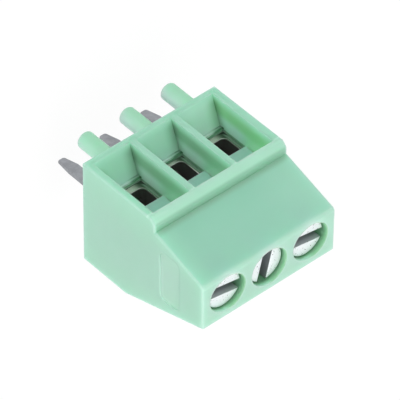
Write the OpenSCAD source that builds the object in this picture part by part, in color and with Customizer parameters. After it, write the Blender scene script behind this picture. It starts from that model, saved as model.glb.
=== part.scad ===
// Three-pole screw terminal block for a printed circuit board.
// Board plane at z = 0, screws up, wire entries facing -Y, poles along X.
// The origin is the middle solder pin where it meets the board.

/* [Row] */
// Distance between neighbouring poles
pitch = 2.54; // [2.5:0.01:2.7]
// Housing beyond the outer poles' half pitch, each end
end_margin = 0.25; // [0.2:0.01:0.4]

/* [Housing] */
// Height of the screw face above the board
body_height = 8.5; // [8.2:0.05:9.5]
// Depth at the board, front to back
body_depth = 6.2; // [5.8:0.05:6.8]
// Front face to the row of solder pins
pin_setback = 3.1; // [2.95:0.05:3.3]
// Height of the rim round the wire entries
rim_height = 5.13; // [4.9:0.01:5.4]
// Radius of the rim's upper edge
rim_round = 0.5; // [0.3:0.05:0.6]
// Front face to the foot of the sloping face
slope_setback = 0.7; // [0.6:0.05:0.9]
// Front face to the front edge of the screw face
top_setback = 1.77; // [1.6:0.01:1.8]
// Depth of the screw face
top_depth = 2.63; // [2.5:0.01:2.9]
// Height of the upright part of the back
back_height = 3.06; // [2.8:0.02:3.6]
// Rounding of the housing's outer edges
edge_round = 0.12; // [0.12:0.01:0.2]
// Rounding of the edge between the sloping face and the screw face
top_round = 0.25; // [0.15:0.05:0.45]

/* [Wire entries] */
// Board to the lower edge of an entry at the front face
entry_sill = 0.28; // [0.24:0.02:0.4]
// Rim height above the upper edge of an entry
entry_lintel = 0.53; // [0.5:0.01:0.7]
// Partition between two entries at the front face
entry_partition = 0.34; // [0.28:0.02:0.5]
// Depth of an entry
entry_depth = 1.6; // [1.4:0.05:1.65]
// Rise of the lower wall from the front face to the entry's floor
sill_rise = 0.75; // [0.6:0.01:0.8]
// Fall of the upper wall over the same depth
lintel_fall = 0.25; // [0.1:0.05:0.4]
// Taper of each side wall over the same depth
side_taper = 0.09; // [0.04:0.01:0.12]
// Board to the lower edge of the window into the clamp
window_low = 1.22; // [1.15:0.01:1.3]
// Board to the upper edge of the window into the clamp
window_high = 2.8; // [2.6:0.05:2.85]
// Thickness of the entry's floor
floor_thickness = 0.2; // [0.15:0.01:0.3]

/* [Screw wells] */
// Front face to the row of screws
screw_setback = 2.97; // [2.94:0.01:3.05]
// Bore of a screw well
well_bore = 2.1; // [1.9:0.02:2.12]

/* [End mark pad] */
// Height of the pad's lower edge above the board
pad_low = 5.5; // [5.3:0.05:5.8]
// Width of the pad up the end face
pad_width = 1.28; // [1:0.02:1.5]
// Length of the pad across the end face
pad_length = 3; // [2.5:0.05:3.05]
// Front face to the pad's front edge
pad_setback = 1.55; // [1.5:0.05:1.8]
// Sink of the pad below the end face
pad_sink = 0.06; // [0.04:0.01:0.12]
// Corner radius of the pad
pad_round = 0.3; // [0.1:0.05:0.4]

/* [Locating pegs] */
// Diameter of a peg
peg_diameter = 0.92; // [0.8:0.02:1]
// Length of a peg below the board plane
peg_length = 1.65; // [1.2:0.05:2]
// Front face to the row of pegs
peg_setback = 0.56; // [0.5:0.02:0.7]
// Rounding of a peg's free end
peg_round = 0.15; // [0.05:0.01:0.2]

/* [Chambers] */
// Wall between two clamp chambers
chamber_wall = 0.38; // [0.34:0.02:0.5]
// Room above a fully raised cage
chamber_headroom = 0.1; // [0.06:0.02:0.2]

/* [Clamp cages] */
// Height of a cage's underside at its lowest
cage_low = 1.03; // [1:0.01:1.1]
// How far a cage travels
cage_travel = 1.2; // [1:0.05:1.25]
// Thickness of a cage's side walls
cage_side = 0.2; // [0.15:0.01:0.25]
// Thickness of a cage's lower wall
cage_sole = 0.33; // [0.25:0.01:0.35]
// Thickness of a cage's threaded upper wall
cage_crown = 0.95; // [0.7:0.05:1.1]
// Inside radius at the foot of a cage
cage_round = 0.3; // [0.15:0.05:0.4]
// Clearance of a cage in its chamber, each side
cage_clearance = 0.03; // [0.02:0.01:0.06]
// How far each cage is raised, left to right
cage_lift = [0.14, 0, 0.18]; // [0:0.01:0.3]

/* [Screws] */
// Screw face below the housing's top
screw_recess = 0.3; // [0.2:0.05:0.5]
// Clearance of a head in its well, radial
head_clearance = 0.05; // [0.03:0.01:0.08]
// Bevel round a head
head_bevel = 0.07; // [0.03:0.01:0.12]
// Length of a head
head_length = 2.2; // [1.8:0.05:2.4]
// Diameter of a shank
shank_diameter = 1.6; // [1.4:0.05:1.7]
// Clearance of a shank in its cage, radial
thread_clearance = 0.02; // [0.01:0.01:0.05]
// Gap between a screw's tip and the bar
tip_gap = 0.02; // [0.01:0.01:0.05]
// Width of a driver slot
slot_width = 0.56; // [0.4:0.02:0.65]
// Depth of a driver slot
slot_depth = 0.6; // [0.4:0.05:0.8]
// Turn of each slot from the row, left to right
slot_turn = [-10, 77, -11]; // [-90:1:90]

/* [Solder pins] */
// Length of a pin below the board plane
pin_length = 3.4; // [2.5:0.1:4]
// Width of a pin along the row
pin_width = 0.6; // [0.5:0.02:0.7]
// Thickness of the strip
strip_thickness = 0.3; // [0.25:0.01:0.32]
// Length of a pin's tapered tip
tip_length = 0.95; // [0.6:0.05:1.2]
// Width of a pin's blunt end
tip_width = 0.4; // [0.3:0.02:0.46]
// Thickness of a pin's blunt end, bevelled from the front
tip_thickness = 0.12; // [0.08:0.01:0.2]
// Width of the bar inside the cage
bar_width = 1.3; // [1:0.05:1.4]
// Gap under the lowest cage to the strip's foot
foot_gap = 0.08; // [0.05:0.01:0.15]
// Gap between the back of a cage and the strip's riser
riser_gap = 0.2; // [0.1:0.02:0.3]
// Gap over the bar to the upper wall of the lowest cage
bar_gap = 0.14; // [0.08:0.02:0.2]
// Front wall of a chamber to the front end of the bar
bar_setback = 0.1; // [0.08:0.02:0.2]
// Rounding of a pin's outline
pin_round = 0.14; // [0.05:0.01:0.16]
// Inside radius of the strip's bends
bend_round = 0.1; // [0.05:0.01:0.15]

/* [Hidden] */
$fn = 64;

green = [0.6, 0.85, 0.74];
zinc = [0.88, 0.89, 0.91];
nickel = [0.68, 0.68, 0.66];
tin = [0.58, 0.59, 0.63];

// Overlap of a cut past the face that it opens
past = 0.1;
// Longer than any length of the housing
beyond = 40;

poles = 3;
pole_x = [for (i = [1:poles]) (i - (poles + 1) / 2) * pitch];
body_width = poles * pitch + 2 * end_margin;

front = -pin_setback;
back = front + body_depth;
screw_y = front + screw_setback;
peg_y = front + peg_setback;

entry_width = pitch - entry_partition;
entry_top = rim_height - entry_lintel;
entry_floor = front + entry_depth;

chamber_width = pitch - chamber_wall;
chamber_front = entry_floor + floor_thickness;

cage_width = chamber_width - 2 * cage_clearance;
cage_length = 2 * (screw_y - chamber_front - cage_clearance);
cage_back = screw_y + cage_length / 2;
bar_low = window_high;
bar_high = bar_low + strip_thickness;
// Clear height inside a cage, which at its lowest still clears the bar
cage_inside = bar_high + bar_gap - cage_low - cage_sole;
cage_height = cage_sole + cage_inside + cage_crown;

riser_front = cage_back + riser_gap;
riser_back = riser_front + strip_thickness;
foot_high = cage_low - foot_gap;
foot_low = foot_high - strip_thickness;
bar_front = chamber_front + bar_setback;

chamber_top = cage_low + cage_travel + cage_height + chamber_headroom;
head_top = body_height - screw_recess;
head_low = head_top - head_length;
head_radius = well_bore / 2 - head_clearance;
shank_low = bar_high + tip_gap;

// Profiles are drawn in Y and Z and run along X.
slope_dir = [top_setback - slope_setback, body_height - rim_height];
slope_foot = rim_height - slope_setback * slope_dir[1] / slope_dir[0];
wedge = [
  [front, 0],
  [back, 0],
  [back, back_height],
  [front + top_setback + top_depth, body_height],
  [front + top_setback, body_height],
  [front, slope_foot]
];
top_corner = 4;
wedge_round = [for (i = [0:len(wedge) - 1]) i == top_corner ? top_round : edge_round];
rim_inner = front + top_setback;

function unit(v) = v / norm(v);
function half_angle(a, b, c) = acos(unit(a - b) * unit(c - b)) / 2;
function round_centre(a, b, c, r) = b + unit(unit(a - b) + unit(c - b)) * r / sin(half_angle(a, b, c));
function round_touch(a, b, c, r) = b + unit(a - b) * r / tan(half_angle(a, b, c));
function before(points, i) = points[(i + len(points) - 1) % len(points)];
function after(points, i) = points[(i + 1) % len(points)];

// Convex outline with every corner rounded by a true arc, each with its own radius
module rounded_outline(points, radii) {
  polygon([
    for (i = [0:len(points) - 1])
      let (a = before(points, i), b = points[i], c = after(points, i))
        each [round_touch(a, b, c, radii[i]), round_touch(c, b, a, radii[i])]
  ]);
  for (i = [0:len(points) - 1])
    translate(round_centre(before(points, i), points[i], after(points, i), radii[i]))
      circle(r = radii[i]);
}

function alike(points, r) = [for (p = points) r];

module along_row(width) {
  rotate([90, 0, 90])
    translate([0, 0, -width / 2])
      linear_extrude(height = width)
        children();
}

// Everything behind a face through a point, with the face's two end edges rounded
module behind_face(point, angle) {
  translate([0, point[0], point[1]])
    rotate([angle, 0, 0])
      translate([0, 0, -beyond])
        linear_extrude(height = 2 * beyond)
          end_rounded_section();
}

module end_rounded_section() {
  half = body_width / 2;
  translate([-half, -beyond])
    square([body_width, beyond - edge_round]);
  translate([edge_round - half, -beyond])
    square([body_width - 2 * edge_round, beyond]);
  for (side = [-1, 1])
    translate([side * (half - edge_round), -edge_round])
      circle(r = edge_round);
}

// Upper body: sloping face, screw face and back
module wedge_body() {
  bend = round_centre(before(wedge, top_corner), wedge[top_corner], after(wedge, top_corner), top_round);
  outward = unit(wedge[top_corner] - bend);
  intersection() {
    along_row(body_width)
      rounded_outline(wedge, wedge_round);
    intersection_for (i = [0:len(wedge) - 1])
      let (d = after(wedge, i) - wedge[i])
        behind_face(wedge[i], atan2(-d[0], d[1]));
    behind_face(bend + top_round * outward, atan2(outward[1], outward[0]));
  }
}

// Rim block: the upright front with its rounded upper edge
module rim_body() {
  round_mid = [front + rim_round, rim_height - rim_round];
  intersection() {
    along_row(body_width)
      union() {
        translate([front, edge_round])
          square([rim_inner - front, rim_height - rim_round - edge_round]);
        translate([front + edge_round, 0])
          square([rim_inner - front - edge_round, edge_round]);
        translate([front + edge_round, edge_round])
          circle(r = edge_round);
        translate([front + rim_round, 0])
          square([rim_inner - front - rim_round, rim_height]);
        translate(round_mid)
          circle(r = rim_round);
      }
    behind_face([front, 0], 180);
    behind_face(round_mid + rim_round * [cos(135), sin(135)], 135);
    behind_face([front, rim_height], 90);
    behind_face([front, 0], -90);
  }
}

// Tapered pocket that a wire is fed into
module wire_entry() {
  taper = side_taper / entry_depth * past;
  rise = sill_rise / entry_depth * past;
  fall = lintel_fall / entry_depth * past;
  half = entry_width / 2;
  intersection() {
    along_row(pitch)
      polygon([
        [front - past, entry_sill - rise],
        [entry_floor, entry_sill + sill_rise],
        [entry_floor, entry_top - lintel_fall],
        [front - past, entry_top + fall]
      ]);
    linear_extrude(height = body_height)
      polygon([
        [-half - taper, front - past],
        [half + taper, front - past],
        [half - side_taper, entry_floor],
        [side_taper - half, entry_floor]
      ]);
  }
  translate([side_taper - half, entry_floor - past, window_low])
    cube([entry_width - 2 * side_taper, floor_thickness + 2 * past, window_high - window_low]);
}

// Space for one cage and its strip, open to the board, with the screw's well above
module clamp_chamber() {
  translate([-chamber_width / 2, chamber_front, -past])
    cube([chamber_width, riser_back - chamber_front, chamber_top + past]);
  translate([0, screw_y, chamber_top - past])
    cylinder(d = well_bore, h = body_height - chamber_top + 2 * past);
}

module locating_peg() {
  inner = peg_diameter / 2 - peg_round;
  translate([0, peg_y, -peg_length])
    rotate_extrude()
      union() {
        square([inner, peg_length + past]);
        translate([0, peg_round])
          square([peg_diameter / 2, peg_length - peg_round + past]);
        translate([inner, peg_round])
          circle(r = peg_round);
      }
}

// Shallow pad sunk in the right-hand end
module mark_pad() {
  outline = [
    [front + pad_setback, pad_low],
    [front + pad_setback + pad_length, pad_low],
    [front + pad_setback + pad_length, pad_low + pad_width],
    [front + pad_setback, pad_low + pad_width]
  ];
  translate([body_width / 2 - pad_sink, 0, 0])
    rotate([90, 0, 90])
      linear_extrude(height = pad_sink + past)
        rounded_outline(outline, alike(outline, pad_round));
}

module housing() {
  color(green)
    union() {
      difference() {
        union() {
          wedge_body();
          rim_body();
        }
        for (x = pole_x)
          translate([x, 0, 0]) {
            wire_entry();
            clamp_chamber();
          }
        mark_pad();
      }
      for (x = pole_x)
        translate([x, 0, 0])
          locating_peg();
    }
}

module screw(pole) {
  color(zinc)
    translate([pole_x[pole], screw_y, 0])
      rotate([0, 0, slot_turn[pole]])
        difference() {
          rotate_extrude()
            polygon([
              [0, shank_low],
              [shank_diameter / 2 - head_bevel, shank_low],
              [shank_diameter / 2, shank_low + head_bevel],
              [shank_diameter / 2, head_low],
              [head_radius, head_low],
              [head_radius, head_top - head_bevel],
              [head_radius - head_bevel, head_top],
              [0, head_top]
            ]);
          translate([-well_bore, -slot_width / 2, head_top - slot_depth])
            cube([2 * well_bore, slot_width, slot_depth + past]);
        }
}

// Closed sleeve: the wire lies in it, the screw turns in its upper wall
module clamp_cage(pole) {
  inner = cage_width - 2 * cage_side;
  outer_round = cage_round + cage_side;
  color(nickel)
    translate([pole_x[pole], screw_y, cage_low + cage_lift[pole]])
      difference() {
        rotate([90, 0, 0])
          translate([0, 0, -cage_length / 2])
            linear_extrude(height = cage_length)
              difference() {
                foot_rounded(cage_width, cage_height, outer_round);
                translate([0, cage_sole])
                  foot_rounded(inner, cage_inside, cage_round);
              }
        cylinder(r = shank_diameter / 2 + thread_clearance, h = beyond);
      }
}

// Rectangle standing on the axis, with its two lower corners rounded
module foot_rounded(width, height, r) {
  translate([-width / 2, r])
    square([width, height - r]);
  translate([r - width / 2, 0])
    square([width - 2 * r, r]);
  for (side = [-1, 1])
    translate([side * (width / 2 - r), r])
      circle(r = r);
}

// One bent strip: pin, foot under the cage, riser behind it and bar through it.
// The riser is as wide as the chamber, so it is held between the chamber's walls.
module solder_pin(pole) {
  outer = bend_round + strip_thickness;
  half = strip_thickness / 2;
  color(tin)
    translate([pole_x[pole], 0, 0]) {
      pin_blade();
      along_row(bar_width)
        difference() {
          strip_bend(-half, riser_back, foot_low, bar_high, outer);
          strip_bend(half - beyond, riser_front, foot_high, bar_low, bend_round);
        }
      along_row(bar_width)
        translate([bar_front, bar_low])
          square([riser_front - bend_round - bar_front, strip_thickness]);
      along_row(chamber_width)
        translate([riser_front, foot_low + outer])
          square([strip_thickness, bar_high - foot_low - 2 * outer]);
    }
}

// The pin itself: narrowed from both sides and thinned from the front towards its end
module pin_blade() {
  half = strip_thickness / 2;
  taper_high = tip_length - pin_length;
  outline = [
    [-tip_width / 2, -pin_length],
    [tip_width / 2, -pin_length],
    [pin_width / 2, taper_high],
    [pin_width / 2, foot_high],
    [-pin_width / 2, foot_high],
    [-pin_width / 2, taper_high]
  ];
  intersection() {
    rotate([90, 0, 0])
      translate([0, 0, -half])
        linear_extrude(height = strip_thickness)
          rounded_outline(outline, alike(outline, pin_round));
    along_row(pin_width)
      polygon([
        [half - tip_thickness, -pin_length],
        [half, -pin_length],
        [half, foot_high],
        [-half, foot_high],
        [-half, taper_high]
      ]);
  }
}

// Upright block from one y to another, its two rear corners rounded
module strip_bend(y_low, y_high, z_low, z_high, r) {
  translate([y_low, z_low])
    square([y_high - r - y_low, z_high - z_low]);
  translate([y_low, z_low + r])
    square([y_high - y_low, z_high - z_low - 2 * r]);
  for (z = [z_low + r, z_high - r])
    translate([y_high - r, z])
      circle(r = r);
}

housing();
screw(0);  // screw_1
screw(1);  // screw_2
screw(2);  // screw_3
clamp_cage(0);  // clamp_cage_1
clamp_cage(1);  // clamp_cage_2
clamp_cage(2);  // clamp_cage_3
solder_pin(0);  // solder_pin_1
solder_pin(1);  // solder_pin_2
solder_pin(2);  // solder_pin_3
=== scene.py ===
import math
import bmesh
import bpy
import numpy as np
from mathutils import Matrix


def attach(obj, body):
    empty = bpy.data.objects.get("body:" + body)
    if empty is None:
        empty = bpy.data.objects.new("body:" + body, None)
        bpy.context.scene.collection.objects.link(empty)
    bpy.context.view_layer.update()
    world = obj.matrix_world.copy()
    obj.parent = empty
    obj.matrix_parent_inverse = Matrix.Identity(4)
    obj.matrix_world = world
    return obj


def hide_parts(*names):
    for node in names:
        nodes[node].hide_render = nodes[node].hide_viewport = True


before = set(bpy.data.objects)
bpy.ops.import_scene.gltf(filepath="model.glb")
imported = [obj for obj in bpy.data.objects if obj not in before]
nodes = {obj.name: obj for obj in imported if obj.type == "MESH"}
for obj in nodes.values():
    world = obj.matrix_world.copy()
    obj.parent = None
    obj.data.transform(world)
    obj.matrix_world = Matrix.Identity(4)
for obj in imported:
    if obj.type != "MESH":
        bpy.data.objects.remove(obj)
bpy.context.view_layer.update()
mm = 0.001
pitch = 2.54  # mm from pole to pole
poleX = (-pitch, 0.0, pitch)  # along the row, pole 1 to pole 3
print("frame loaded:", len(nodes), "nodes")


# Shader sockets and nodes

class Socket:
    # a wrapped shader socket: arithmetic on it adds Math nodes
    def __init__(self, graph, out):
        self.graph = graph
        self.out = out

    def math(self, operation, first, second=0.0):
        return self.graph.add("ShaderNodeMath", {"operation": operation}, {0: first, 1: second})

    def __add__(self, other):
        return self.math("ADD", self, other)

    def __radd__(self, other):
        return self.math("ADD", other, self)

    def __sub__(self, other):
        return self.math("SUBTRACT", self, other)

    def __rsub__(self, other):
        return self.math("SUBTRACT", other, self)

    def __mul__(self, other):
        return self.math("MULTIPLY", self, other)

    def __rmul__(self, other):
        return self.math("MULTIPLY", other, self)

    def __abs__(self):
        return self.math("ABSOLUTE", self)

    def atLeast(self, other):
        return self.math("MAXIMUM", self, other)


class Graph:
    # a node tree, with the named bands over which its colours change
    def __init__(self, tree, bands=None):
        self.tree = tree
        self.bands = bands
        tree.nodes.clear()

    # any node: its type, its settings, its socket values or links, and the output wanted
    def add(self, kind, settings=None, inputs=None, output=0):
        node = self.tree.nodes.new(kind)
        for key, value in (settings or {}).items():
            setattr(node, key, value)
        for key, value in (inputs or {}).items():
            if isinstance(value, Socket):
                self.tree.links.new(value.out, node.inputs[key])
            else:
                node.inputs[key].default_value = value
        return Socket(self, node.outputs[output]) if len(node.outputs) else None

    def mixColours(self, factor, first, second):
        settings = {"data_type": "RGBA", "blend_type": "MIX"}
        return self.add("ShaderNodeMix", settings, {0: factor, 6: first, 7: second}, 2)

    # Object coordinates in millimetres, counted from a centre
    def place(self, centre=(0.0, 0.0, 0.0)):
        coords = self.add("ShaderNodeTexCoord", output="Object")
        shift = tuple(-c * mm for c in centre)
        moved = self.add("ShaderNodeMapping", None, {"Vector": coords, "Location": shift})
        return self.add("ShaderNodeVectorMath", {"operation": "SCALE"}, {0: moved, "Scale": 1 / mm})

    def axes(self, vector):
        parts = self.add("ShaderNodeSeparateXYZ", None, {0: vector}).out.node.outputs
        return [Socket(self, part) for part in parts]

    # X counted from the middle of its own pole
    def acrossPole(self, x):
        half = pitch / 2
        return self.add("ShaderNodeMath", {"operation": "WRAP"}, {0: x, 1: half, 2: -half})

    # distance from an axis: the root of the two squares' sum
    def fromAxis(self, first, second):
        return self.add("ShaderNodeMath", {"operation": "SQRT"}, {0: first * first + second * second})

    def noise(self, place, scale, detail, rough):
        values = {"Vector": place, "Scale": scale, "Detail": detail, "Roughness": rough}
        return self.add("ShaderNodeTexNoise", None, values, "Fac")

    # smooth step over a named band: 0 up to its first value, 1 past its second, which may be the lower one
    def band(self, value, name):
        start, end = self.bands[name]
        settings = {"interpolation_type": "SMOOTHSTEP"}
        return self.add("ShaderNodeMapRange", settings, {"Value": value, "From Min": start, "From Max": end})

    # depth in mm
    def bump(self, height, strength, depth):
        values = {"Height": height, "Strength": strength, "Distance": depth * mm}
        return self.add("ShaderNodeBump", None, values)

    # 1 for the rays that show a surface, straight or by way of a shiny or clear piece,
    # and 0 for those that carry its light
    def shown(self):
        kinds = self.add("ShaderNodeLightPath").out.node.outputs
        wanted = ("Is Camera Ray", "Is Glossy Ray", "Is Transmission Ray")
        camera, glossy, clear = [Socket(self, kinds[kind]) for kind in wanted]
        return camera.atLeast(glossy).atLeast(clear)

    def surface(self, inputs):
        shader = self.add("ShaderNodeBsdfPrincipled", None, inputs)
        self.add("ShaderNodeOutputMaterial", None, {"Surface": shader})


def newFinish(name, bands=None):
    finish = bpy.data.materials.new(name)
    finish.use_nodes = True
    return finish, Graph(finish.node_tree, bands)


# Meshes

meshLook = {
    "weldGap": 5e-7, "mergeGap": 8e-7, "cutGap": 1e-7,  # m
    "flatAngle": 0.002,  # radians, below which faces count as one
    "steepAngle": 60, "sharpAngle": 30,  # degrees, over which an edge may be rounded, and is shaded sharp
    "rounds": 3,
}


# faces of a grid of points: each quad joins neighbours in two rows and two columns
def gridFaces(rows, columns, wrap):
    i = np.arange(rows - 1)[:, None]
    j = np.arange(columns if wrap else columns - 1)[None, :]
    k = (j + 1) % columns
    quads = [i * columns + j, i * columns + k, (i + 1) * columns + k, (i + 1) * columns + j]
    return np.stack(quads, -1).reshape(-1, 4)


# one closed mesh from patches, each a grid of points in mm and whether its columns wrap round
def weldPatches(name, patches, sharpAngle):
    points, faces, start = [], [], 0
    for grid, wrap in patches:
        rows, columns = grid.shape[:2]
        points.append(grid.reshape(-1, 3) * mm)
        faces.append(gridFaces(rows, columns, wrap) + start)
        start += rows * columns
    mesh = bpy.data.meshes.new(name)
    mesh.from_pydata(np.concatenate(points).tolist(), [], np.concatenate(faces).tolist())
    work = bmesh.new()
    work.from_mesh(mesh)
    bmesh.ops.remove_doubles(work, verts=work.verts, dist=meshLook["weldGap"])
    bmesh.ops.recalc_face_normals(work, faces=work.faces)
    angles = np.degrees([e.calc_face_angle(0) for e in work.edges])
    work.to_mesh(mesh)
    work.free()
    return addPiece(name, mesh, angles > sharpAngle)


# a mesh as an object, shaded smooth but for its sharp edges
def addPiece(name, mesh, sharp):
    mesh.polygons.foreach_set("use_smooth", np.ones(len(mesh.polygons), bool))
    mesh.edges.foreach_set("use_edge_sharp", sharp)
    piece = bpy.data.objects.new(name, mesh)
    bpy.context.scene.collection.objects.link(piece)
    return piece


# a merged copy of a node whose chosen edges are rounded: pick(ends, angles) gives each edge's share
# of the width, from the edges' two end points in mm and their outward angle in degrees;
# cuts are planes in mm that split the flat faces through their openings, so that none goes all round one
def softCopy(node, name, width, pick, cuts):
    look = meshLook
    mesh = nodes[node].data.copy()
    mesh.materials.clear()
    work = bmesh.new()
    work.from_mesh(mesh)
    bmesh.ops.remove_doubles(work, verts=work.verts, dist=look["mergeGap"])
    bmesh.ops.dissolve_degenerate(work, dist=look["mergeGap"], edges=work.edges)
    for point, normal in cuts:
        whole = work.verts[:] + work.edges[:] + work.faces[:]
        place = tuple(c * mm for c in point)
        cut = bmesh.ops.bisect_plane(work, geom=whole, dist=look["cutGap"], plane_co=place, plane_no=normal)
        for line in [item for item in cut["geom_cut"] if isinstance(item, bmesh.types.BMEdge)]:
            line.seam = True
    flat = look["flatAngle"]
    bmesh.ops.dissolve_limit(work, angle_limit=flat, verts=work.verts, edges=work.edges, delimit={"SEAM"})
    work.edges.ensure_lookup_table()
    angles = np.degrees([e.calc_face_angle_signed(0) for e in work.edges])
    work.to_mesh(mesh)
    work.free()
    places = np.zeros(len(mesh.vertices) * 3)
    mesh.vertices.foreach_get("co", places)
    pairs = np.zeros(len(mesh.edges) * 2, int)
    mesh.edges.foreach_get("vertices", pairs)
    ends = places.reshape(-1, 3)[pairs.reshape(-1, 2)] / mm
    shares = mesh.attributes.new("bevel_weight_edge", "FLOAT", "EDGE")
    shares.data.foreach_set("value", pick(ends, angles).astype(np.float32))
    piece = addPiece(name, mesh, np.abs(angles) > look["sharpAngle"])
    soft = piece.modifiers.new("edges", "BEVEL")
    soft.limit_method = "WEIGHT"
    soft.width = width * mm
    soft.segments = look["rounds"]
    soft.use_clamp_overlap = False
    soft.harden_normals = True
    split = piece.modifiers.new("triangles", "TRIANGULATE")
    split.keep_custom_normals = True
    shaped = piece.evaluated_get(bpy.context.evaluated_depsgraph_get())
    piece.data = bpy.data.meshes.new_from_object(shaped)
    piece.modifiers.clear()
    return piece


poleCuts = [((x, 0.0, 0.0), (1.0, 0.0, 0.0)) for x in poleX]


def dress(piece, node, body, finish):
    piece.data.materials.append(finish)
    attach(piece, body)
    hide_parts(node)


# Housing

housingLook = {
    # planes and places of the solid, mm
    "front": -3.1, "top": 8.5, "end": 4.06, "entryFloor": -1.5, "lintelZ": 4.6,
    "wellY": -0.13, "wellRadius": 1.05, "pegY": -2.54,
    "entryTaper": 0.056,  # how an entry narrows per mm of depth
    "sillZ": 0.28, "sillRise": 0.469,  # an entry's lower wall: its height at the front, and its rise per mm
    "padMid": (-0.05, 6.14), "padHalf": (1.5, 0.64), "padRound": 0.3,  # pad in the right-hand end, Y and Z
    # edges: the width of the front ones in mm, and the others' shares of it
    "edgeWidth": 0.11, "lintelShare": 0.22, "wellShare": 0.4, "windowShare": 0.11, "footShare": 0.36,
    "padShare": 0.5,
    "wellFront": -1.0,  # the wells' rims are rounded behind this Y only: in front they meet the top edge
    "planeGap": 0.002, "ringGap": 0.003, "sliver": 0.01,  # mm: how near an edge counts, and one too short to
    # painted light and shade: the outer faces are painted paler and the sloping front over the hollows
    # deeper, and the colours below are lit or shaded tones of the one plastic
    "pale": (0.405, 0.69, 0.545, 1.0), "face": (0.44, 0.725, 0.575, 1.0),
    "frontFace": (0.365, 0.705, 0.523, 1.0),
    # painted highlight on the rim, painted shade in the fold behind it
    "rim": (0.445, 0.76, 0.59, 1.0), "fold": (0.315, 0.60, 0.44, 1.0),
    # the pad, with painted shade along its upper edge and a painted highlight along its lower one
    "pad": (0.445, 0.725, 0.58, 1.0), "padShade": (0.365, 0.635, 0.50, 1.0),
    "padLight": (0.50, 0.775, 0.635, 1.0),
    # the sloping front painted a little lighter towards its top and its ends
    "slope": (0.345, 0.70, 0.535, 1.0), "slopeTop": (0.357, 0.705, 0.545, 1.0),
    "slopeFar": (0.40, 0.74, 0.58, 1.0),
    # pegs: painted shade on one side, and the pegs of poles 1 and 2 painted paler
    "peg": (0.48, 0.76, 0.62, 1.0), "pegShade": (0.39, 0.735, 0.525, 1.0), "pegFar": (0.68, 0.97, 0.83, 1.0),
    # painted light at the entries' mouths, and a painted highlight along the lintel's lower edge
    "mouth": (0.515, 0.885, 0.68, 1.0), "lip": (0.50, 0.80, 0.64, 1.0),
    # entries, painted light and shade: the lower walls, the side walls and the back; nook is painted shade
    # in the corners
    "sill": (0.50, 0.84, 0.67, 1.0), "sillBack": (0.56, 0.92, 0.74, 1.0), "sillFar": (0.61, 0.95, 0.76, 1.0),
    "wallFront": (0.315, 0.575, 0.405, 1.0), "wallBack": (0.605, 0.865, 0.745, 1.0),
    "wallEnd": (0.38, 0.72, 0.44, 1.0),
    "entryBack": (0.375, 0.92, 0.62, 1.0), "nook": (0.05, 0.17, 0.08, 1.0),
    # painted shade and light down the screw wells
    "wellShade": (0.21, 0.45, 0.28, 1.0), "wellLight": (0.28, 0.58, 0.34, 1.0),
    "wellPale": (0.43, 0.74, 0.565, 1.0),
    # painted shade: the window jambs darkened and the chambers behind the windows painted near black
    "jamb": (0.17, 0.34, 0.22, 1.0), "jambSide": (0.28, 0.54, 0.36, 1.0), "chamber": (0.06, 0.13, 0.08, 1.0),
    # how strong some of the painted light and shade is
    "wallHighShare": 0.7, "slopeNearShare": 0.7, "nookShare": 0.5, "nookLag": 0.4,
    "windowShadowShare": 1.4, "windowShadowTopShare": 0.8, "windowShadowCornerShare": 0.6,
    "padTilt": 0.35, "pegLit": (0.83, 0.56),  # where the light comes from: a slope, and a way in X and Y
    # where the colours change, mm: not yet at the first value, wholly at the second;
    # those of the entries count from the front face and the pole's middle, those of the pad from its outline
    "bands": {
        "end": (3.91, 3.98), "top": (8.15, 8.45), "front": (-2.97, -3.08),
        "rimY": (-2.5, -2.8), "rimZ": (4.6, 4.75),
        "foldFront": (-2.92, -2.75), "foldBack": (-2.28, -2.38),
        "foldLow": (4.72, 4.85), "foldHigh": (5.8, 5.4),
        "slopeTop": (5.5, 6.8), "slopeFar": (-0.5, -4.2), "slopeNear": (2.6, 4.0),
        "entryY": (-1.2, -1.4), "entryZ": (4.75, 4.6), "entrySide": (1.06, 1.095),
        "entryBackY": (-1.62, -1.5), "entryBackZ": (2.0, 2.5), "mouth": (0.05, 0.45),
        "wallEnd": (3.2, 3.5), "wallMouth": (0.0, 0.6), "wallBack": (0.75, 1.2), "wallHigh": (2.3, 3.3),
        "sillBack": (0.3, 1.5), "sillFar": (-0.6, -2.6),
        "nook": (0.4, 1.3), "nookDepth": (0.0, 0.55), "nookSide": (-0.2, 0.2),
        "windowShadowEnds": (0.15, 0.95), "windowShadowTop": (1.11, 1.19), "windowShadowCorner": (0.3, 0.6),
        "windowShadowCornerTop": (1.09, 1.16), "windowShadowDepth": (1.5, 1.58), "windowShadowZ": (1.32, 1.24),
        "lowZ": (5.9, 5.6), "lowY": (1.9, 1.8),
        "jamb": (-1.49, -1.45), "jambSide": (1.25, 1.5), "chamber": (-1.31, -1.25),
        "pad": (0.02, -0.06), "padUpper": (0.1, 0.5), "padLower": (-0.1, -0.5),
        "padShadeIn": (0.0, 0.04), "padShadeOut": (0.22, 0.08),
        "padLightIn": (-0.3, -0.1), "padLightOut": (0.04, -0.02),
        "well": (1.07, 1.10), "wellEnd": (3.65, 3.7), "wellFoot": (5.6, 5.9),
        "wellLight": (8.14, 8.44), "wellPale": (8.2, 8.4), "wellPaleSide": (0.6, 1.2),
        "lipFront": (-0.06, 0.0), "lipBack": (0.16, 0.06), "lipLow": (4.5, 4.6), "lipHigh": (4.72, 4.6),
        "pegZ": (0.05, -0.05), "pegFar": (2.0, 0.0), "pegLit": (-0.35, 0.46),
    },
    # noises: scale, detail and roughness
    "cloud": 0.06, "cloudNoise": (0.55, 3.0, 0.6), "grainNoise": (9.0, 3.0, 0.6),
    "roughness": 0.36, "grainRough": 0.12, "chamberRough": 0.5, "grainBump": (0.12, 0.02),
    "ior": 1.5, "glow": 1.0, "glowReach": (0.75, 0.95, 0.85),  # mm, red green blue
}


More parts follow.
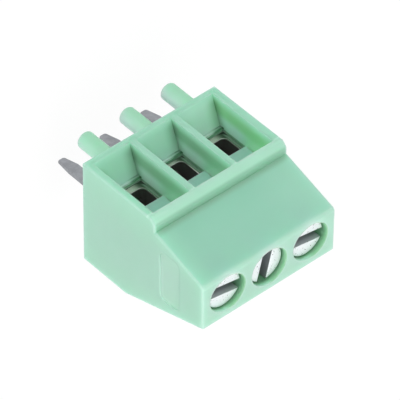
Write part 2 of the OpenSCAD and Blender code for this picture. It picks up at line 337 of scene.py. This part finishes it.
def housingEdges(ends, angles):
    look = housingLook
    convex = angles > meshLook["steepAngle"]
    sliver = np.linalg.norm(ends[:, 0] - ends[:, 1], axis=1) < look["sliver"]
    share = np.zeros(len(angles))

    def lies(axis, value):
        return convex & (np.abs(ends[:, :, axis] - value) < look["planeGap"]).all(1)

    share[lies(1, look["front"])] = 1.0
    share[lies(1, look["front"]) & lies(2, look["lintelZ"])] = look["lintelShare"]
    half = pitch / 2
    across = (ends[:, :, 0] + half) % pitch - half
    ring = np.abs(np.hypot(across, ends[:, :, 1] - look["wellY"]) - look["wellRadius"])
    onRing = (ring < look["ringGap"]).all(1)
    clear = (ends[:, :, 1] > look["wellFront"]).all(1)
    share[lies(2, look["top"]) & onRing & clear] = look["wellShare"]
    share[lies(1, look["entryFloor"])] = look["windowShare"]
    share[lies(2, 0.0)] = look["footShare"]
    share[lies(0, look["end"]) & ~sliver] = look["padShare"]
    return share


# inside the wire entries, all painted light and shade: lower walls lighter deeper in, side walls pale at the
# mouth and dark behind it, painted shade in the nooks and a painted shadow along the windows' lower edges
def entryColours(g, x, y, z, across, depth):
    look = housingLook
    lift = z - (look["sillZ"] + look["sillRise"] * depth)  # height over the lower wall
    reach = abs(across) + look["entryTaper"] * depth
    wall = g.mixColours(g.band(abs(x), "wallEnd"), look["wallFront"], look["wallEnd"])
    wall = g.mixColours(g.band(depth, "wallMouth"), look["mouth"], wall)
    wallBack = g.band(depth, "wallBack") * (1.0 - look["wallHighShare"] * g.band(z, "wallHigh"))
    wall = g.mixColours(wallBack, wall, look["wallBack"])
    inside = g.mixColours(g.band(depth, "sillBack"), look["sill"], look["sillBack"])
    inside = g.mixColours(g.band(x, "sillFar"), inside, look["sillFar"])
    inside = g.mixColours(g.band(depth, "mouth"), look["mouth"], inside)
    inside = g.mixColours(g.band(y, "entryBackY") * g.band(z, "entryBackZ"), inside, look["entryBack"])
    inside = g.mixColours(g.band(reach, "entrySide"), inside, wall)
    # painted shade in the nook between the lower wall and each side wall
    lag = look["nookLag"] * g.band(across, "nookSide")
    nook = g.band(reach - lift, "nook") * g.band(depth - lag, "nookDepth")
    # painted shadow along the window's lower edge, darker towards its sides
    seam = g.band(abs(across), "windowShadowEnds").atLeast(look["windowShadowTopShare"] * g.band(z, "windowShadowTop"))
    corner = g.band(abs(across), "windowShadowCorner") * g.band(z, "windowShadowCornerTop")
    seam = seam + look["windowShadowCornerShare"] * corner
    seam = seam * g.band(depth, "windowShadowDepth") * g.band(z, "windowShadowZ")
    dark = look["nookShare"] * nook.atLeast(look["windowShadowShare"] * seam)
    return g.mixColours(dark, inside, look["nook"])


# the sunk pad: edge is the distance from its rounded outline, less than 0 inside it; the pad is paler, with
# painted shade just outside its upper edge and a painted highlight just inside its lower one
def padColours(g, colour, x, y, z):
    look = housingLook
    midY, midZ = look["padMid"]
    halfY, halfZ = look["padHalf"]
    pastY = (abs(y - midY) - halfY + look["padRound"]).atLeast(0.0)
    pastZ = (abs(z - midZ) - halfZ + look["padRound"]).atLeast(0.0)
    edge = g.fromAxis(pastY, pastZ) - look["padRound"]
    upper = z - midZ - look["padTilt"] * (y - midY)
    atEnd = g.band(x, "end")
    colour = g.mixColours(atEnd * g.band(edge, "pad"), colour, look["pad"])
    shade = g.band(edge, "padShadeIn") * g.band(edge, "padShadeOut") * g.band(upper, "padUpper")
    colour = g.mixColours(atEnd * shade, colour, look["padShade"])
    light = g.band(edge, "padLightIn") * g.band(edge, "padLightOut") * g.band(upper, "padLower")
    return g.mixColours(atEnd * light, colour, look["padLight"])


# down the screw wells, painted shade deep down and painted light towards the rim, paler under the rim and on
# the side away from the entries
def wellColours(g, colour, x, y, z, across):
    look = housingLook
    along = y - look["wellY"]
    well = 1.0 - g.band(g.fromAxis(across, along), "well").atLeast(g.band(abs(x), "wellEnd"))
    shaft = g.mixColours(g.band(z, "wellLight"), look["wellShade"], look["wellLight"])
    pale = g.band(across + along, "wellPaleSide") * g.band(z, "wellPale")
    shaft = g.mixColours(pale, shaft, look["wellPale"])
    return g.mixColours(well * g.band(z, "wellFoot"), colour, shaft)


def pegColours(g, colour, x, y, z, across):
    look = housingLook
    litX, litY = look["pegLit"]
    # painted light and shade: the pegs of poles 1 and 2 paler, and each peg shaded on its -X, -Y side
    peg = g.mixColours(g.band(x, "pegFar"), look["peg"], look["pegFar"])
    peg = g.mixColours(g.band(litX * across + litY * (y - look["pegY"]), "pegLit"), look["pegShade"], peg)
    return g.mixColours(g.band(z, "pegZ"), colour, peg)


def mintPlastic():
    look = housingLook
    finish, g = newFinish("mint_plastic", look["bands"])
    place = g.place()
    x, y, z = g.axes(place)
    across = g.acrossPole(x)
    depth = y - look["front"]
    atEnd = g.band(abs(x), "end")
    onTop = g.band(z, "top")
    rimTop = g.band(y, "rimY") * g.band(z, "rimZ")
    front = g.band(y, "front")
    outside = atEnd.atLeast(onTop).atLeast(rimTop).atLeast(front)
    between = 1.0 - atEnd

    # the sloping front, painted lighter towards its top and its ends; the entries, painted light and shade;
    # and the hollows behind them, with painted shade on the window jambs and in the chambers
    slope = g.mixColours(g.band(z, "slopeTop"), look["slope"], look["slopeTop"])
    slopeEnds = g.band(x, "slopeFar").atLeast(look["slopeNearShare"] * g.band(x, "slopeNear"))
    slope = g.mixColours(slopeEnds, slope, look["slopeFar"])
    entry = g.band(y, "entryY") * g.band(z, "entryZ")
    colour = g.mixColours(entry, slope, entryColours(g, x, y, z, across, depth))
    # painted shade: the window jambs darker, and the chambers behind them near black and matt
    low = g.band(z, "lowZ") * g.band(y, "lowY") * (1.0 - outside)
    jamb = g.mixColours(g.band(z, "jambSide"), look["jamb"], look["jambSide"])
    colour = g.mixColours(g.band(y, "jamb") * low, colour, jamb)
    dark = g.band(y, "chamber") * low
    colour = g.mixColours(dark, colour, look["chamber"])

    # painted light and shade on the outer faces: paler than the sloping front, the front face greener, the
    # top face and rim paler still as painted highlights, and the fold behind the rim painted darker as shade
    outer = g.mixColours(onTop, look["pale"], look["face"])
    outer = g.mixColours(front * between, outer, look["frontFace"])
    colour = g.mixColours(outside, colour, g.mixColours(rimTop * between, outer, look["rim"]))
    fold = g.band(y, "foldFront") * g.band(y, "foldBack") * g.band(z, "foldLow") * g.band(z, "foldHigh")
    colour = g.mixColours(fold * between, colour, look["fold"])
    colour = padColours(g, colour, x, y, z)
    colour = wellColours(g, colour, x, y, z, across)
    # painted highlight along the lintel's lower edge at the mouths
    lip = g.band(depth, "lipFront") * g.band(depth, "lipBack") * g.band(z, "lipLow") * g.band(z, "lipHigh")
    colour = g.mixColours(lip, colour, look["lip"])
    colour = pegColours(g, colour, x, y, z, across)
    cloud = g.noise(place, *look["cloudNoise"]) - 0.5
    colour = g.add("ShaderNodeHueSaturation", None, {"Color": colour, "Value": 1.0 + look["cloud"] * cloud})
    grain = g.noise(place, *look["grainNoise"])
    g.surface({
        "Base Color": colour,
        "Roughness": look["roughness"] + look["grainRough"] * grain + look["chamberRough"] * dark,
        "Normal": g.bump(grain, *look["grainBump"]),
        "IOR": look["ior"],
        "Subsurface Weight": look["glow"],
        "Subsurface Radius": look["glowReach"],
        "Subsurface Scale": mm,
    })
    return finish


padCut = ((0.0, 0.0, housingLook["padMid"][1]), (0.0, 0.0, 1.0))
housing = softCopy("housing", "housing_shell", housingLook["edgeWidth"], housingEdges, poleCuts + [padCut])
dress(housing, "housing", "body", mintPlastic())
print("housing:", len(housing.data.polygons), "triangles")


# Screws

screwLook = {
    # sizes, mm
    "headRadius": 1.0, "headTop": 8.2, "headLow": 6.0, "rimBevel": 0.05,
    "headRound": 0.05, "roundMid": 0.3,  # the head's lower edge, and how far in the middle of its round lies
    "slotWidth": 0.56, "slotDepth": 0.6, "slotEdge": 0.02,
    "slotTurn": (-10, 77, -11), "sharpAngle": 35,  # degrees
    "axisY": -0.13, "shankRadius": 0.795, "tipLow": 3.12, "tipTaper": 0.2, "tipShare": 0.78,
    "threadPitch": 0.35, "threadDepth": 0.16, "threadRunOut": 0.3,
    "toothFlat": 0.14, "toothFlank": 0.62,  # shares of half a pitch
    "arcSteps": 36, "endSteps": 10, "rimSteps": 4, "capSteps": 4, "rowsPerPitch": 10,
    "colour": (0.885, 0.92, 0.94, 1.0), "dull": (0.83, 0.87, 0.89, 1.0), "speck": (0.16, 0.15, 0.15, 1.0),
    # painted shade and light: below the head's top the slot walls go dark deep down and lighter towards the
    # top, and the shank is painted near black in the housing's shade
    "slotTop": (0.82, 0.85, 0.88, 1.0), "slotDeep": (0.33, 0.35, 0.37, 1.0),
    "shank": (0.06, 0.06, 0.055, 1.0),
    "slotBright": (1.0, 0.22, 1.0),  # how far each slot's wall brightens to its top
    # where the colours change: noise levels, then heights in mm
    "bands": {
        "pits": (0.645, 0.69), "dull": (0.35, 0.75),
        "slot": (8.18, 8.14), "slotBright": (7.7, 8.15), "shank": (6.0, 5.7),
    },
    # noises: scale, detail and roughness
    "seeds": (1.6, 7.3, 3.1), "patchNoise": (3.2, 4.0, 0.65), "pitNoise": (11.0, 2.0, 0.5),
    "latheLines": 95.0, "latheWander": 3.0, "latheNoise": (2.0, 2.0, 0.5),
    "metallic": 0.6, "roughness": 0.38, "patchRough": 0.16, "pitRough": 0.2,
    "latheRelief": 0.5, "patchRelief": 0.8, "pitRelief": 1.5, "bump": (0.10, 0.01),
}


# two raised half discs beside the slot: a D outline, arc then chord, carried up a wall with a rounded rim;
# row i has its arc at radius R - a(i) and its chord at h + c(i)
def halfDisc(look):
    radius, half = look["headRadius"], look["slotWidth"] / 2
    top, bevel, lip = look["headTop"], look["rimBevel"], look["slotEdge"]
    steps = look["arcSteps"]
    turn = np.linspace(0, math.pi / 2, look["rimSteps"] + 1)
    inArc = np.concatenate([[0.0], bevel * (1 - np.cos(turn))])
    height = np.concatenate([[top - look["slotDepth"]], top - bevel + bevel * np.sin(turn)])
    rise = np.clip((height - top + lip) / lip, 0, 1)
    inChord = lip * (1 - np.sqrt(1 - rise ** 2))
    r = (radius - inArc)[:, None]
    y = (half + inChord)[:, None]
    corner = np.arcsin(y / r)
    t = np.linspace(0, 1, steps + 1)[None, :]
    angle = corner + (math.pi - 2 * corner) * t
    arc = np.stack([r * np.cos(angle), r * np.sin(angle)], -1)
    width = r * np.cos(corner)
    chordX = width * (2 * t[:, 1:-1] - 1)
    chord = np.stack([chordX, y + 0 * chordX], -1)
    loop = np.concatenate([arc, chord], 1)
    wall = np.concatenate([loop, np.broadcast_to(height[:, None, None], loop.shape[:2] + (1,))], -1)
    # the flat top runs from the last arc across to the last chord
    across = np.linspace(0, 1, look["capSteps"] + 1)[:, None, None]
    edge = np.stack([width[-1] * (1 - 2 * t[0]), np.full(steps + 1, y[-1, 0])], -1)
    flat = (1 - across) * arc[-1] + across * edge
    cap = np.concatenate([flat, np.full(flat.shape[:2] + (1,), top)], -1)
    return [(wall, True), (cap, False)]


# slot floor: rows at heights y = R sin a of the slot's two end arcs, each running from +x to -x
def slotFloor(look):
    radius = look["headRadius"]
    corner = math.asin(look["slotWidth"] / 2 / radius)
    a = np.linspace(-corner, corner, look["endSteps"] + 1)[:, None]
    t = np.linspace(1, -1, look["arcSteps"] + 1)[None, :]
    x = radius * np.cos(a) * t
    y = radius * np.sin(a) + 0 * t
    z = np.full(x.shape, look["headTop"] - look["slotDepth"])
    return [(np.stack([x, y, z], -1), False)]


# head wall and threaded shank: a revolved grid whose radius over the shank is
# R - depth * tooth(z / pitch - angle / turn), with the tooth a flat-topped wave
def threadedShank(look):
    radius, shank, low = look["headRadius"], look["shankRadius"], look["headLow"]
    corner = math.asin(look["slotWidth"] / 2 / radius)
    ends = np.linspace(-corner, corner, look["endSteps"] + 1)[:-1]
    arcs = np.linspace(corner, math.pi - corner, look["arcSteps"] + 1)[:-1]
    angle = np.concatenate([ends, arcs, ends + math.pi, arcs + math.pi])[None, :]
    soft = look["headRound"]
    mid = soft * look["roundMid"]
    headR = np.array([radius, radius, radius - mid, radius - soft, shank])
    headZ = np.array([look["headTop"] - look["slotDepth"], low + soft, low + mid, low, low])
    rows = int((low - look["tipLow"]) / look["threadPitch"] * look["rowsPerPitch"])
    z = np.linspace(low, look["tipLow"], rows + 1)[1:, None]
    wave = np.abs(2 * ((z / look["threadPitch"] - angle / (2 * math.pi)) % 1.0) - 1)
    tooth = np.clip((wave - look["toothFlat"]) / look["toothFlank"], 0, 1)
    runOut = np.clip((low - z) / look["threadRunOut"], 0, 1)
    point = np.clip((z - look["tipLow"]) / look["tipTaper"], 0, 1)
    narrow = look["tipShare"] + (1 - look["tipShare"]) * np.sqrt(point)
    r = (shank - look["threadDepth"] * tooth * runOut) * narrow
    head = np.broadcast_to(headR[:, None], (len(headR), angle.shape[1]))
    r = np.concatenate([head, r, 0 * r[-1:]])
    z = np.concatenate([headZ[:, None], z, z[-1:]]) + 0 * angle
    return [(np.stack([r * np.cos(angle), r * np.sin(angle), z], -1), True)]


def buildScrew(number):
    look = screwLook
    half = halfDisc(look)
    other = [(grid * np.array([-1, -1, 1]), wrap) for grid, wrap in half]
    patches = half + other + slotFloor(look) + threadedShank(look)
    turn = math.radians(look["slotTurn"][number - 1])
    spin = np.array([[math.cos(turn), math.sin(turn), 0], [-math.sin(turn), math.cos(turn), 0], [0, 0, 1]])
    move = np.array([poleX[number - 1], look["axisY"], 0])
    turned = [(grid @ spin + move, wrap) for grid, wrap in patches]
    return weldPatches(f"terminal_screw_{number}", turned, look["sharpAngle"])


def brightZinc(number):
    look = screwLook
    finish, g = newFinish(f"bright_zinc_{number}", look["bands"])
    place = g.place((poleX[number - 1], look["axisY"], 0.0))
    x, y, z = g.axes(place)
    wander = look["latheWander"] * g.noise(place, *look["latheNoise"])
    rings = g.fromAxis(x, y) * look["latheLines"] + wander
    lathe = g.add("ShaderNodeMath", {"operation": "SINE"}, {0: rings})
    shift = (look["seeds"][number - 1], 0.0, 0.0)
    own = g.add("ShaderNodeMapping", None, {"Vector": place, "Location": shift})
    patch = g.noise(own, *look["patchNoise"])
    pits = g.band(g.noise(own, *look["pitNoise"]), "pits")
    colour = g.mixColours(g.band(patch, "dull"), look["colour"], look["dull"])
    colour = g.mixColours(pits, colour, look["speck"])
    # painted shade below the head's top, lighter towards it, and over the shank
    bright = look["slotBright"][number - 1] * g.band(z, "slotBright")
    slotWall = g.mixColours(bright, look["slotDeep"], look["slotTop"])
    colour = g.mixColours(g.band(z, "slot"), colour, slotWall)
    colour = g.mixColours(g.band(z, "shank"), colour, look["shank"])
    relief = look["latheRelief"] * lathe + look["patchRelief"] * patch - look["pitRelief"] * pits
    g.surface({
        "Base Color": colour,
        "Metallic": look["metallic"],
        "Roughness": look["roughness"] + look["patchRough"] * patch + look["pitRough"] * pits,
        "Normal": g.bump(relief, *look["bump"]),
    })
    return finish


for number in (1, 2, 3):
    dress(buildScrew(number), f"screw_{number}", f"screw_{number}", brightZinc(number))
print("screws: 3")


# Clamp cages and solder pins

def squareEdges(ends, angles):
    return (angles > meshLook["steepAngle"]).astype(float)


cageLook = {
    "edgeWidth": 0.035, "front": -1.27, "edgeMid": 0.02,  # mm
    "nickel": (0.80, 0.79, 0.76, 1.0), "nickelDark": (0.66, 0.65, 0.62, 1.0),
    # painted reflection and shade on the sleeve's front face, and a painted glint along its inner edge
    "sole": (0.46, 0.57, 0.46, 1.0), "soleSide": (0.04, 0.09, 0.05, 1.0), "soleEnd": (0.17, 0.31, 0.21, 1.0),
    "soleGlint": (1.0, 1.0, 0.97, 1.0),
    # painted shade: the metal inside the sleeves
    "hollow": (0.085, 0.08, 0.075, 1.0),  # how dark the metal gets inside the sleeves
    # where the colours change: a noise level, then mm behind the front, from the pole's middle and up
    "bands": {
        "dark": (0.35, 0.7),
        "brow": (0.012, 0.004), "edge": (0.025, 0.01), "hollow": (0.05, 0.09), "behindSole": (0.3, 0.5),
        "edgeSide": (0.75, 0.55), "hollowSide": (0.95, 0.88),
        "soleSide": (0.3, 0.82), "soleEnd": (0.84, 0.95),
        "overSole": (1.28, 1.33),
    },
    # noises: scale, detail and roughness
    "drawn": (14.0, 1.2, 14.0), "streakNoise": (1.0, 3.0, 0.6), "patchNoise": (2.4, 3.0, 0.6),
    "roughness": 0.26, "streakRough": 0.16, "hollowRough": 0.4, "browRough": 0.6,
    "hollowMatt": 0.8, "browMatt": 0.85, "bump": (0.15, 0.01),
}


def nickelPlate():
    look = cageLook
    finish, g = newFinish("nickel_plate", look["bands"])
    place = g.place()
    drawn = g.add("ShaderNodeMapping", None, {"Vector": place, "Scale": look["drawn"]})
    streak = g.noise(drawn, *look["streakNoise"])
    patch = g.noise(place, *look["patchNoise"])
    x, y, z = g.axes(place)
    side = abs(g.acrossPole(x))
    behind = y - look["front"]
    colour = g.mixColours(g.band(patch, "dark"), look["nickel"], look["nickelDark"])
    # painted reflection and shade on the front face: grey-green where it mirrors the entry's plastic, dark
    # towards the sides and dull green at their ends, with a painted glint along the inner edge
    brow = g.band(behind, "brow")
    edge = g.band(abs(behind - look["edgeMid"]), "edge") * g.band(side, "edgeSide")
    sole = g.mixColours(g.band(side, "soleSide"), look["sole"], look["soleSide"])
    sole = g.mixColours(g.band(side, "soleEnd"), sole, look["soleEnd"])
    colour = g.mixColours(brow, g.mixColours(edge, colour, look["soleGlint"]), sole)
    # painted shade: inside the sleeve the metal is painted dark and matt
    raised = g.band(z, "overSole").atLeast(g.band(behind, "behindSole"))
    inside = raised * g.band(behind, "hollow") * g.band(side, "hollowSide")
    matt = (look["hollowMatt"] * inside).atLeast(look["browMatt"] * brow).atLeast(edge)
    rough = look["hollowRough"] * inside.atLeast(look["browRough"] * brow)
    g.surface({
        "Base Color": g.mixColours(inside, colour, look["hollow"]),
        "Metallic": 1.0 - matt,
        "Roughness": look["roughness"] + look["streakRough"] * streak + rough,
        "Normal": g.bump(streak, *look["bump"]),
    })
    return finish


pinLook = {
    "edgeWidth": 0.035,  # mm
    "tin": (0.37, 0.385, 0.41, 1.0), "tinDark": (0.30, 0.31, 0.33, 1.0),
    # painted shade: the metal inside the housing
    "hollow": (0.085, 0.08, 0.075, 1.0),  # how dark the metal gets inside the housing
    # where the colours change: a noise level, then a height in mm
    "bands": {"dark": (0.3, 0.72), "hollow": (0.1, 0.4)},
    # noises: scale, detail and roughness
    "drawn": (16.0, 16.0, 1.0), "streakNoise": (1.0, 3.0, 0.6), "patchNoise": (3.0, 4.0, 0.6),
    "roughness": 0.38, "patchRough": 0.18, "hollowRough": 0.3,
    "hollowMatt": 0.8, "patchRelief": 0.6, "bump": (0.2, 0.012),
}


def mattTin():
    look = pinLook
    finish, g = newFinish("matt_tin", look["bands"])
    place = g.place()
    drawn = g.add("ShaderNodeMapping", None, {"Vector": place, "Scale": look["drawn"]})
    streak = g.noise(drawn, *look["streakNoise"])
    patch = g.noise(place, *look["patchNoise"])
    x, y, z = g.axes(place)
    # painted shade: the strip painted dark and matt where it runs up inside the housing
    inside = g.band(z, "hollow")
    colour = g.mixColours(g.band(patch, "dark"), look["tin"], look["tinDark"])
    g.surface({
        "Base Color": g.mixColours(inside, colour, look["hollow"]),
        "Metallic": 1.0 - look["hollowMatt"] * inside,
        "Roughness": look["roughness"] + look["patchRough"] * patch + look["hollowRough"] * inside,
        "Normal": g.bump(streak + look["patchRelief"] * patch, *look["bump"]),
    })
    return finish


nickel, tin = nickelPlate(), mattTin()
for number in (1, 2, 3):
    cageNode, pinNode = f"clamp_cage_{number}", f"solder_pin_{number}"
    cage = softCopy(cageNode, f"clamp_sleeve_{number}", cageLook["edgeWidth"], squareEdges, poleCuts)
    dress(cage, cageNode, cageNode, nickel)
    pin = softCopy(pinNode, f"solder_strip_{number}", pinLook["edgeWidth"], squareEdges, poleCuts)
    dress(pin, pinNode, "body", tin)
print("cages and pins: 6")


# Floor, world, lamps and camera

stageLook = {
    "floorZ": -3.42, "floorHalf": 1500.0,  # mm
    "floorMatt": (0.86, 0.86, 0.86, 1.0), "floorWhite": (1.0, 1.0, 1.0, 1.0), "sky": (1.0, 1.0, 1.0, 1.0),
    "shadowShare": 0.08, "white": 1.03, "worldLight": 0.65,
    # lamp: where it stands in mm, its width, its watts
    "lamps": {
        "lamp_front": ((62, -413, 44), 320, 0.45),
        "lamp_top": ((42, 126, 402), 320, 0.55),
        "lamp_end": ((398, 105, 87), 320, 0.50),
    },
    "aim": (0.0, 0.0, 3.0), "lampUp": (0.1, 0.2, 1.0),
}


# a square of one quad
def buildFloor():
    look = stageLook
    side = np.array([-look["floorHalf"], look["floorHalf"]])
    grid = np.stack(np.broadcast_arrays(side[None, :], side[:, None], np.array([[look["floorZ"]]])), -1)
    mesh = bpy.data.meshes.new("floor")
    mesh.from_pydata((grid.reshape(-1, 3) * mm).tolist(), [], gridFaces(2, 2, False).tolist())
    floor = bpy.data.objects.new("floor", mesh)
    bpy.context.scene.collection.objects.link(floor)
    finish, g = newFinish("white_table")
    matt = g.add("ShaderNodeBsdfDiffuse", None, {"Color": look["floorMatt"]})
    white = g.add("ShaderNodeEmission", None, {"Color": look["floorWhite"], "Strength": look["white"]})
    seen = g.shown() * (1.0 - look["shadowShare"])
    mixed = g.add("ShaderNodeMixShader", None, {0: seen, 1: matt, 2: white})
    g.add("ShaderNodeOutputMaterial", None, {"Surface": mixed})
    mesh.materials.append(finish)


def buildWorld():
    world = bpy.data.worlds.new("studio")
    bpy.context.scene.world = world
    world.use_nodes = True
    g = Graph(world.node_tree)
    level = stageLook["worldLight"]
    values = {"Color": stageLook["sky"], "Strength": level + (1.0 - level) * g.shown()}
    back = g.add("ShaderNodeBackground", None, values)
    g.add("ShaderNodeOutputWorld", None, {"Surface": back})


def turnTo(place, aim, up):
    back = np.array(place, float) - np.array(aim, float)
    back /= np.linalg.norm(back)
    right = np.cross(up, back)
    right /= np.linalg.norm(right)
    return right, np.cross(back, right), back


def standAt(thing, place, axes):
    right, up, back = axes
    rows = [[right[i], up[i], back[i], place[i] * mm] for i in range(3)]
    thing.matrix_world = Matrix(rows + [[0.0, 0.0, 0.0, 1.0]])


def buildLamps():
    for name, (place, width, watts) in stageLook["lamps"].items():
        lamp = bpy.data.lights.new(name, "AREA")
        lamp.shape = "DISK"
        lamp.size = width * mm
        lamp.energy = watts
        thing = bpy.data.objects.new(name, lamp)
        bpy.context.scene.collection.objects.link(thing)
        standAt(thing, place, turnTo(place, stageLook["aim"], stageLook["lampUp"]))


# where the photograph was taken from: the block lies on its back in the picture, so the camera is rolled
cameraLook = {
    "place": (99.18, -145.97, 115.40),
    "aim": (-0.163, -0.618, 3.466),
    "up": (-0.45566, -0.71488, -0.53040),
    "lens": 405.0, "sensor": 36.0,
    "clip": (0.01, 20.0),  # m
}


def buildCamera():
    look = cameraLook
    data = bpy.data.cameras.new("camera")
    data.lens = look["lens"]
    data.sensor_width = look["sensor"]
    data.clip_start, data.clip_end = look["clip"]
    camera = bpy.data.objects.new("camera", data)
    bpy.context.scene.collection.objects.link(camera)
    standAt(camera, look["place"], turnTo(look["place"], look["aim"], look["up"]))
    bpy.context.scene.camera = camera


buildFloor()
buildWorld()
buildLamps()
buildCamera()
bpy.context.scene.view_settings.view_transform = "Standard"
print("stage set")
